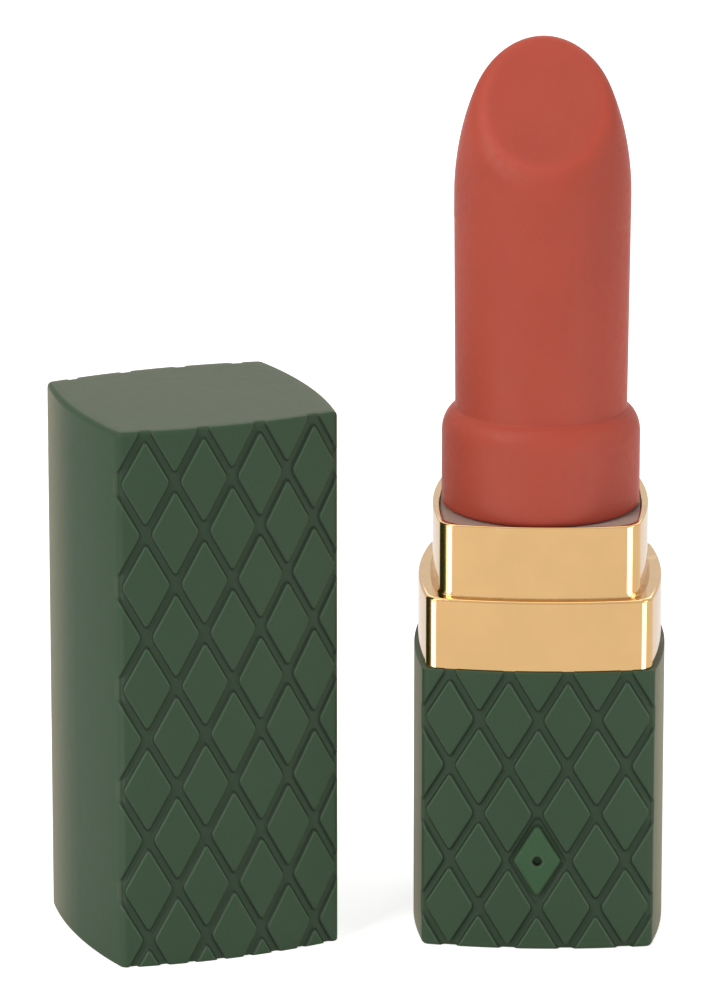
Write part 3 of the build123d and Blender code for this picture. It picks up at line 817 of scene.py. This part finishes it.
def groove_shading(n, body, colour):
    """Painted shade and a painted highlight in the quilting: dark floors and walls, a light line along
    upper edges.
    """
    offsets, squares = [], []
    reach = GROOVE_MOUTH + DIAMOND_CORNER_R
    for name in ("lattice_u", "lattice_v"):
        cell = n.mark(name)
        nearest = n.math("SUBTRACT", cell, n.math("ROUND", cell))
        offset = n.math("MULTIPLY", nearest, GROOVE_SPACING)
        short = n.math("MAXIMUM", n.math("SUBTRACT", reach, n.math("ABSOLUTE", offset)), 0.0)
        offsets.append(offset)
        squares.append(n.math("MULTIPLY", short, short))
    away = n.math("SUBTRACT", reach, n.math("SQRT", n.math("ADD", *squares)))
    on_face = n.mark("on_face")
    # painted shade on the groove floors
    floor = n.math("MULTIPLY", n.remap(away, 0.42, 0.30, 0.0, 0.6), on_face)
    body = n.mix(floor, body, scaled(colour, 0.66))
    # painted shade on the groove walls
    wall = n.math("MULTIPLY", n.remap(away, 0.22, 0.35, 0.0, 1.0), n.remap(away, 0.50, 0.42, 0.0, 0.85))
    body = n.mix(n.math("MULTIPLY", wall, on_face), body, scaled(colour, 0.25))
    # painted highlight: a light line along the diamonds' upper edges
    upper = n.math("MAXIMUM", n.math("MULTIPLY", offsets[0], -1.0), 0.0)
    lines = []
    for offset in (upper, offsets[1]):
        rise = n.remap(offset, 0.44, 0.50, 0.0, 1.0)
        lines.append(n.math("MULTIPLY", rise, n.remap(offset, 0.68, 0.56, 0.0, 1.0)))
    line = n.math("MULTIPLY", n.math("MAXIMUM", *lines), n.remap(away, 0.42, 0.49, 0.0, 0.45))
    return n.mix(n.math("MULTIPLY", line, on_face), body, scaled(colour, 2.1))


def soft_touch(name, colour, sheen_colour, edge_highlight_and_shade=1.0):
    """Moulded plastic under a matte soft-touch coat: fine tooth, a painted sheen at grazing angles, convex
    edges lightened with a painted highlight that is partly edge wear, creases darkened with painted shade.
    """
    n = Nodes(name)
    cloud = n.remap(n.noise(14.0, 2), 0.35, 0.65, 0, 1)
    speck = n.remap(n.noise(0.22, 2), 0.3, 0.7, 0, 1)
    body = n.mix(cloud, scaled(colour, 0.985), scaled(colour, 1.015))
    body = n.mix(n.remap(speck, 0, 1, 0.0, 0.12), body, scaled(colour, 1.5))
    body = groove_shading(n, body, colour)
    point = n.pointiness()
    # convex edges lightened: a painted highlight, partly edge wear
    edge_highlight_and_wear = n.remap(point, 0.515, 0.60, 0.0, 0.16 * edge_highlight_and_shade)
    edge_highlight_and_wear = n.math("MULTIPLY", edge_highlight_and_wear, n.remap(n.mark("on_face"), 0.0, 1.0, 1.0, 0.1))
    body = n.mix(edge_highlight_and_wear, body, scaled(sheen_colour, 0.9))
    # creases and hollows darkened: painted shade
    shaded = n.remap(point, 0.485, 0.42, 0.0, 0.55 * edge_highlight_and_shade)
    body = n.mix(shaded, body, scaled(colour, 0.55))
    # lighter at grazing angles: a painted sheen
    body = n.mix(n.remap(n.grazing(0.5), 0.66, 1.0, 0.0, 0.68), body, sheen_colour)
    # painted shadow round the port and painted shade down the pin hole
    body = n.mix(n.mark("painted_light"), body, scaled(colour, 0.10))
    rough = n.remap(n.noise(1.4, 3), 0.3, 0.7, 0.58, 0.61)
    normal = n.bump(n.noise(0.13, 2), 0.35, 0.010)
    n.set("Specular IOR Level", 0.28)
    n.set("Sheen Weight", 0.06)
    n.set("Sheen Roughness", 0.45)
    n.set("Sheen Tint", srgb(225, 205, 195))
    return n.finish(body, rough, normal)


def metallised(name, colour):
    """Vacuum-metallised plastic: mirror bright, with faint moulding waves, dust and hairlines."""
    n = Nodes(name)
    n.set("Metallic", 1.0)
    tone = n.remap(n.noise(5.0, 2), 0.3, 0.7, 0, 1)
    body = n.mix(tone, scaled(colour, 0.97), scaled(colour, 1.02))
    hairs = n.remap(n.noise(0.12, 2, (0.04, 0.04, 1.0)), 0.60, 0.78, 0.0, 0.05)
    rough = n.math("ADD", hairs, n.remap(n.noise(0.9, 3), 0.3, 0.8, 0.055, 0.10))
    return n.finish(body, rough, n.bump(n.noise(3.5, 1), 0.05, 0.05))


def silicone(name, colour, rim):
    """Matte silicone: velvety, slightly translucent, a painted sheen at grazing angles, painted shade in
    creases, a painted warm highlight on the facet's rim.
    """
    n = Nodes(name)
    cloud = n.remap(n.noise(11.0, 3), 0.35, 0.65, 0, 1)
    body = n.mix(cloud, scaled(colour, 0.965), scaled(colour, 1.03))
    body = n.mix(n.remap(n.noise(0.18, 2), 0.45, 0.75, 0.0, 0.14), body, scaled(colour, 1.35))
    # lighter at grazing angles: a painted sheen
    body = n.mix(n.remap(n.grazing(0.5), 0.70, 1.0, 0.0, 0.4), body, rim)
    # creases darkened: painted shade
    body = n.mix(n.remap(n.pointiness(), 0.49, 0.44, 0.0, 0.5), body, scaled(colour, 0.72))
    # a painted warm highlight on the facet's rim
    body = n.mix(n.math("MULTIPLY", n.mark("painted_light"), 0.5), body, srgb(203, 84, 62))
    n.set("Subsurface Weight", 0.12)
    n.set("Subsurface Radius", (1.0, 0.35, 0.2))
    n.set("Subsurface Scale", 0.9 * MM)
    n.set("Specular IOR Level", 0.3)
    n.set("Sheen Weight", 0.12)
    n.set("Sheen Roughness", 0.4)
    n.set("Sheen Tint", rim)
    rough = n.remap(n.noise(0.8, 3), 0.3, 0.7, 0.50, 0.62)
    fine = n.bump(n.noise(0.10, 2), 0.3, 0.010)
    normal = n.bump(n.noise(3.0, 2), 0.2, 0.03, fine)
    return n.finish(body, rough, normal)


def plastic(name, colour, roughness, grain_mm=0.3):
    n = Nodes(name)
    body = n.mix(n.remap(n.noise(3.0, 3), 0.3, 0.7, 0, 1), scaled(colour, 0.92), scaled(colour, 1.06))
    # lighter on convex edges: a painted highlight
    body = n.mix(n.remap(n.pointiness(), 0.52, 0.6, 0, 0.25), body, scaled(colour, 1.6))
    rough = n.remap(n.noise(1.1, 3), 0.3, 0.7, roughness - 0.06, roughness + 0.06)
    return n.finish(body, rough, n.bump(n.noise(grain_mm, 2), 0.3, 0.01))


def rubber(name, colour, roughness=0.7):
    n = Nodes(name)
    dust = n.remap(n.noise(0.35, 3), 0.5, 0.75, 0.0, 0.25)
    body = n.mix(dust, colour, scaled(colour, 1.7))
    rough = n.remap(n.noise(0.9, 3), 0.3, 0.7, roughness - 0.08, roughness + 0.08)
    n.set("Specular IOR Level", 0.3)
    n.set("Sheen Weight", 0.15)
    return n.finish(body, rough, n.bump(n.noise(0.2, 2), 0.4, 0.02))


def metal(name, colour, roughness, brush=(1.0, 1.0, 0.06)):
    """Drawn or ground metal with fine lines along one direction and a little tarnish."""
    n = Nodes(name)
    n.set("Metallic", 1.0)
    tarnish = n.remap(n.noise(2.2, 4), 0.4, 0.75, 0, 1)
    body = n.mix(tarnish, colour, scaled(colour, 0.72))
    lines = n.noise(0.08, 2, brush)
    rough = n.remap(lines, 0.3, 0.7, roughness - 0.07, roughness + 0.08)
    return n.finish(body, rough, n.bump(lines, 0.2, 0.006))


def laminate(name, colour):
    """Solder mask over copper tracks."""
    n = Nodes(name)
    tracks = n.tree.nodes.new("ShaderNodeTexBrick")
    tracks.inputs["Scale"].default_value = 1 / (1.6 * MM)
    tracks.inputs["Mortar Size"].default_value = 0.05
    n.link(n.place, tracks.inputs["Vector"])
    body = n.mix(tracks.outputs["Fac"], colour, scaled(colour, 2.4))
    body = n.mix(n.remap(n.noise(1.0, 3), 0.3, 0.7, 0, 0.3), body, scaled(colour, 0.6))
    return n.finish(body, 0.32, n.bump(tracks.outputs["Fac"], 0.3, 0.02))


def foil(name, colour):
    """Crinkled laminate of a battery pouch."""
    n = Nodes(name)
    n.set("Metallic", 0.85)
    body = n.mix(n.remap(n.noise(2.0, 4), 0.3, 0.7, 0, 1), scaled(colour, 0.85), colour)
    crinkle = n.bump(n.noise(0.7, 4), 0.5, 0.04)
    rough = n.remap(n.noise(0.6, 3), 0.3, 0.7, 0.28, 0.45)
    return n.finish(body, rough, n.bump(n.noise(0.12, 2), 0.3, 0.01, crinkle))


def windings(name, colour):
    """Enamelled copper wire lying in rows, with painted shade between the turns."""
    n = Nodes(name)
    n.set("Metallic", 1.0)
    wave = n.tree.nodes.new("ShaderNodeTexWave")
    wave.bands_direction = "Z"
    wave.inputs["Scale"].default_value = 1 / (0.9 * MM)
    wave.inputs["Distortion"].default_value = 0.6
    n.link(n.place, wave.inputs["Vector"])
    body = n.mix(wave.outputs["Fac"], scaled(colour, 0.45), colour)
    return n.finish(body, 0.34, n.bump(wave.outputs["Fac"], 0.5, 0.05))


GREEN = srgb(51, 75, 51)
SHEEN_GREEN = srgb(176, 166, 138)
PORT_GREEN = srgb(55, 88, 58)
GOLD = srgb(228, 186, 130)
TERRACOTTA = srgb(186, 78, 60)
SILICONE_SHEEN = srgb(214, 150, 140)

soft_green = soft_touch("soft_touch_green", GREEN, SHEEN_GREEN)
port_green = soft_touch("port_green", PORT_GREEN, SHEEN_GREEN, 0.4)
gold = metallised("gold_metallised", GOLD)
terracotta = silicone("terracotta_silicone", TERRACOTTA, SILICONE_SHEEN)
grey_rubber = rubber("grey_rubber", srgb(172, 148, 134), 0.5)
black_rubber = rubber("black_rubber", srgb(34, 34, 35))
white_abs = plastic("white_abs", srgb(214, 212, 206), 0.42)
black_abs = plastic("black_abs", srgb(38, 38, 40), 0.45)
button_green = soft_touch("button_green", scaled(GREEN, 0.9), SHEEN_GREEN, 0.6)
steel = metal("steel", (0.56, 0.56, 0.57, 1.0), 0.26)
bronze = metal("bronze", (0.55, 0.38, 0.17, 1.0), 0.40, (1, 1, 1))
copper = windings("copper", (0.72, 0.36, 0.2, 1.0))
segments = metal("copper_segments", (0.76, 0.42, 0.26, 1.0), 0.3, (1, 1, 0.1))
ferrite = plastic("ferrite", srgb(58, 57, 58), 0.55, 0.15)
board = laminate("laminate_green", srgb(20, 82, 46))
pouch = foil("pouch_foil", (0.62, 0.63, 0.65, 1.0))
foam = rubber("foam", srgb(196, 194, 186), 0.85)
wire_red = plastic("wire_red", srgb(168, 36, 30), 0.35, 0.5)

NODE_MATERIALS = {
    "collar_o_ring": black_rubber, "bullet_gasket": grey_rubber, "bullet_core_front": white_abs,
    "bullet_core_rear": white_abs, "motor_can": steel, "motor_end_cap": black_abs,
    "motor_bushings": bronze, "motor_magnets": ferrite, "motor_damper": black_rubber,
    "motor_shaft": steel, "commutator": segments, "armature": copper, "eccentric_weight": steel,
    "chassis": white_abs, "circuit_board": board, "board_screws": steel, "control_chip": black_abs,
    "charge_jack": black_abs, "jack_contact": bronze, "battery_cell": pouch, "battery_pad": foam,
    "battery_leads": wire_red, "motor_leads": wire_red, "tact_switch_body": black_abs,
    "switch_plunger": white_abs, "power_button": button_green, "button_seal": black_rubber,
}
for node, material in NODE_MATERIALS.items():
    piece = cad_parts[node]
    if not piece.material_slots:
        piece.data.materials.append(material)
    for holder in piece.material_slots:
        holder.material = material

make_base(soft_green)
make_port(port_green)
make_collar(gold)
make_sleeve(terracotta)
make_cap(soft_green)


# ---------------------------------------------------------------- studio

WHITE = (1.0, 0.985, 0.96, 1.0)
DIFFUSE_WORLD, GLOSSY_WORLD, CAMERA_WORLD = 0.26, 0.80, 1.00
FLOOR_GLOW = 0.70
CARD_ANGLE, CARD_WIDTH, CARD_HEIGHT, CARD_DISTANCE, CARD_STRENGTH = 48, 46, 26, 90, 4.5


def emitter(name, colour, strength):
    material = bpy.data.materials.new(name)
    material.use_nodes = True
    tree = material.node_tree
    tree.nodes.clear()
    light = tree.nodes.new("ShaderNodeEmission")
    light.inputs["Color"].default_value = colour
    light.inputs["Strength"].default_value = strength
    out = tree.nodes.new("ShaderNodeOutputMaterial")
    tree.links.new(light.outputs[0], out.inputs["Surface"])
    return material


def card(name, azimuth, width, height, distance, colour, strength):
    """An upright card seen only in reflections; azimuth 0 is in front and 90 is at +X."""
    turn = math.radians(azimuth)
    bpy.ops.mesh.primitive_plane_add(size=1)
    plane = bpy.context.object
    plane.name = name
    plane.scale = (width * MM, height * MM, 1)
    plane.rotation_euler = (math.pi / 2, 0, turn)
    plane.location = (distance * MM * math.sin(turn), -distance * MM * math.cos(turn), height * MM / 2)
    plane.data.materials.append(emitter(name, colour, strength))
    plane.visible_camera = False
    plane.visible_diffuse = False
    plane.visible_shadow = False
    plane.visible_transmission = False


def softbox(name, place, target, size, watts, colour=(1, 1, 1)):
    data = bpy.data.lights.new(name, "AREA")
    data.shape = "RECTANGLE"
    data.size, data.size_y = size
    data.energy = watts
    data.color = colour
    lamp = bpy.data.objects.new(name, data)
    lamp.location = place
    aim = Vector(target) - Vector(place)
    lamp.rotation_euler = aim.to_track_quat("-Z", "Y").to_euler()
    bpy.context.scene.collection.objects.link(lamp)


scene = bpy.context.scene
world = bpy.data.worlds.new("studio")
world.use_nodes = True
sky = world.node_tree.nodes["Background"]
sky.inputs["Color"].default_value = (1.0, 0.99, 0.98, 1.0)
# the backdrop is white to the camera, bright in mirrors and dimmer as a light on the pieces
ray = world.node_tree.nodes.new("ShaderNodeLightPath")
level = DIFFUSE_WORLD
for kind, target in (("Is Glossy Ray", GLOSSY_WORLD), ("Is Camera Ray", CAMERA_WORLD)):
    step = world.node_tree.nodes.new("ShaderNodeMath")
    step.operation = "MULTIPLY_ADD"
    world.node_tree.links.new(ray.outputs[kind], step.inputs[0])
    step.inputs[1].default_value = target - DIFFUSE_WORLD
    if isinstance(level, float):
        step.inputs[2].default_value = level
    else:
        world.node_tree.links.new(level, step.inputs[2])
    level = step.outputs["Value"]
world.node_tree.links.new(level, sky.inputs["Strength"])
scene.world = world
scene.view_settings.view_transform = "Standard"
scene.view_settings.look = "None"

bpy.ops.mesh.primitive_plane_add(size=12)
floor = bpy.context.object
floor.name = "floor"
# white paper that looks bright to the camera, less so in mirrors, and bounces little light
paper = Nodes("paper")
paper.set("Emission Color", (1.0, 0.995, 0.99, 1.0))
path = paper.tree.nodes.new("ShaderNodeLightPath")
glow = paper.math(
    "SUBTRACT",
    paper.math("SUBTRACT", FLOOR_GLOW, paper.math("MULTIPLY", path.outputs["Is Diffuse Ray"], 0.58)),
    paper.math("MULTIPLY", path.outputs["Is Glossy Ray"], 0.47),
)
paper.link(glow, paper.shader.inputs["Emission Strength"])
fibres = paper.remap(paper.noise(4.0, 3), 0.3, 0.7, 0, 1)
paper.finish(paper.mix(fibres, (0.88, 0.876, 0.87, 1.0), (0.90, 0.896, 0.89, 1.0)), 0.9)
floor.data.materials.append(paper.material)

softbox("key", (-0.62, -0.6, 0.8), (0, 0, 0.04), (0.45, 0.45), 6.2)
softbox("fill", (0.9, -0.4, 0.45), (0, 0, 0.04), (0.5, 0.5), 2.0)
softbox("top", (0, 0.1, 1.1), (0, 0, 0.0), (0.7, 0.7), 1.5)
softbox("back", (0.1, 0.9, 0.6), (0, 0, 0.04), (0.8, 0.5), 1.6)
for side, angle in (("left", -CARD_ANGLE), ("right", CARD_ANGLE)):
    card(f"card_{side}", angle, CARD_WIDTH, CARD_HEIGHT, CARD_DISTANCE, WHITE, CARD_STRENGTH)

camera = bpy.data.objects.new("camera", bpy.data.cameras.new("camera"))
scene.collection.objects.link(camera)
camera.data.lens = 253.0
camera.data.sensor_width = 36.0
camera.data.clip_start = 0.01
camera.data.clip_end = 50.0
camera.location = (0.0034, -0.6906, 0.2402)
camera.rotation_euler = (math.radians(90 - 15.84), 0, math.radians(1.87))
scene.camera = camera
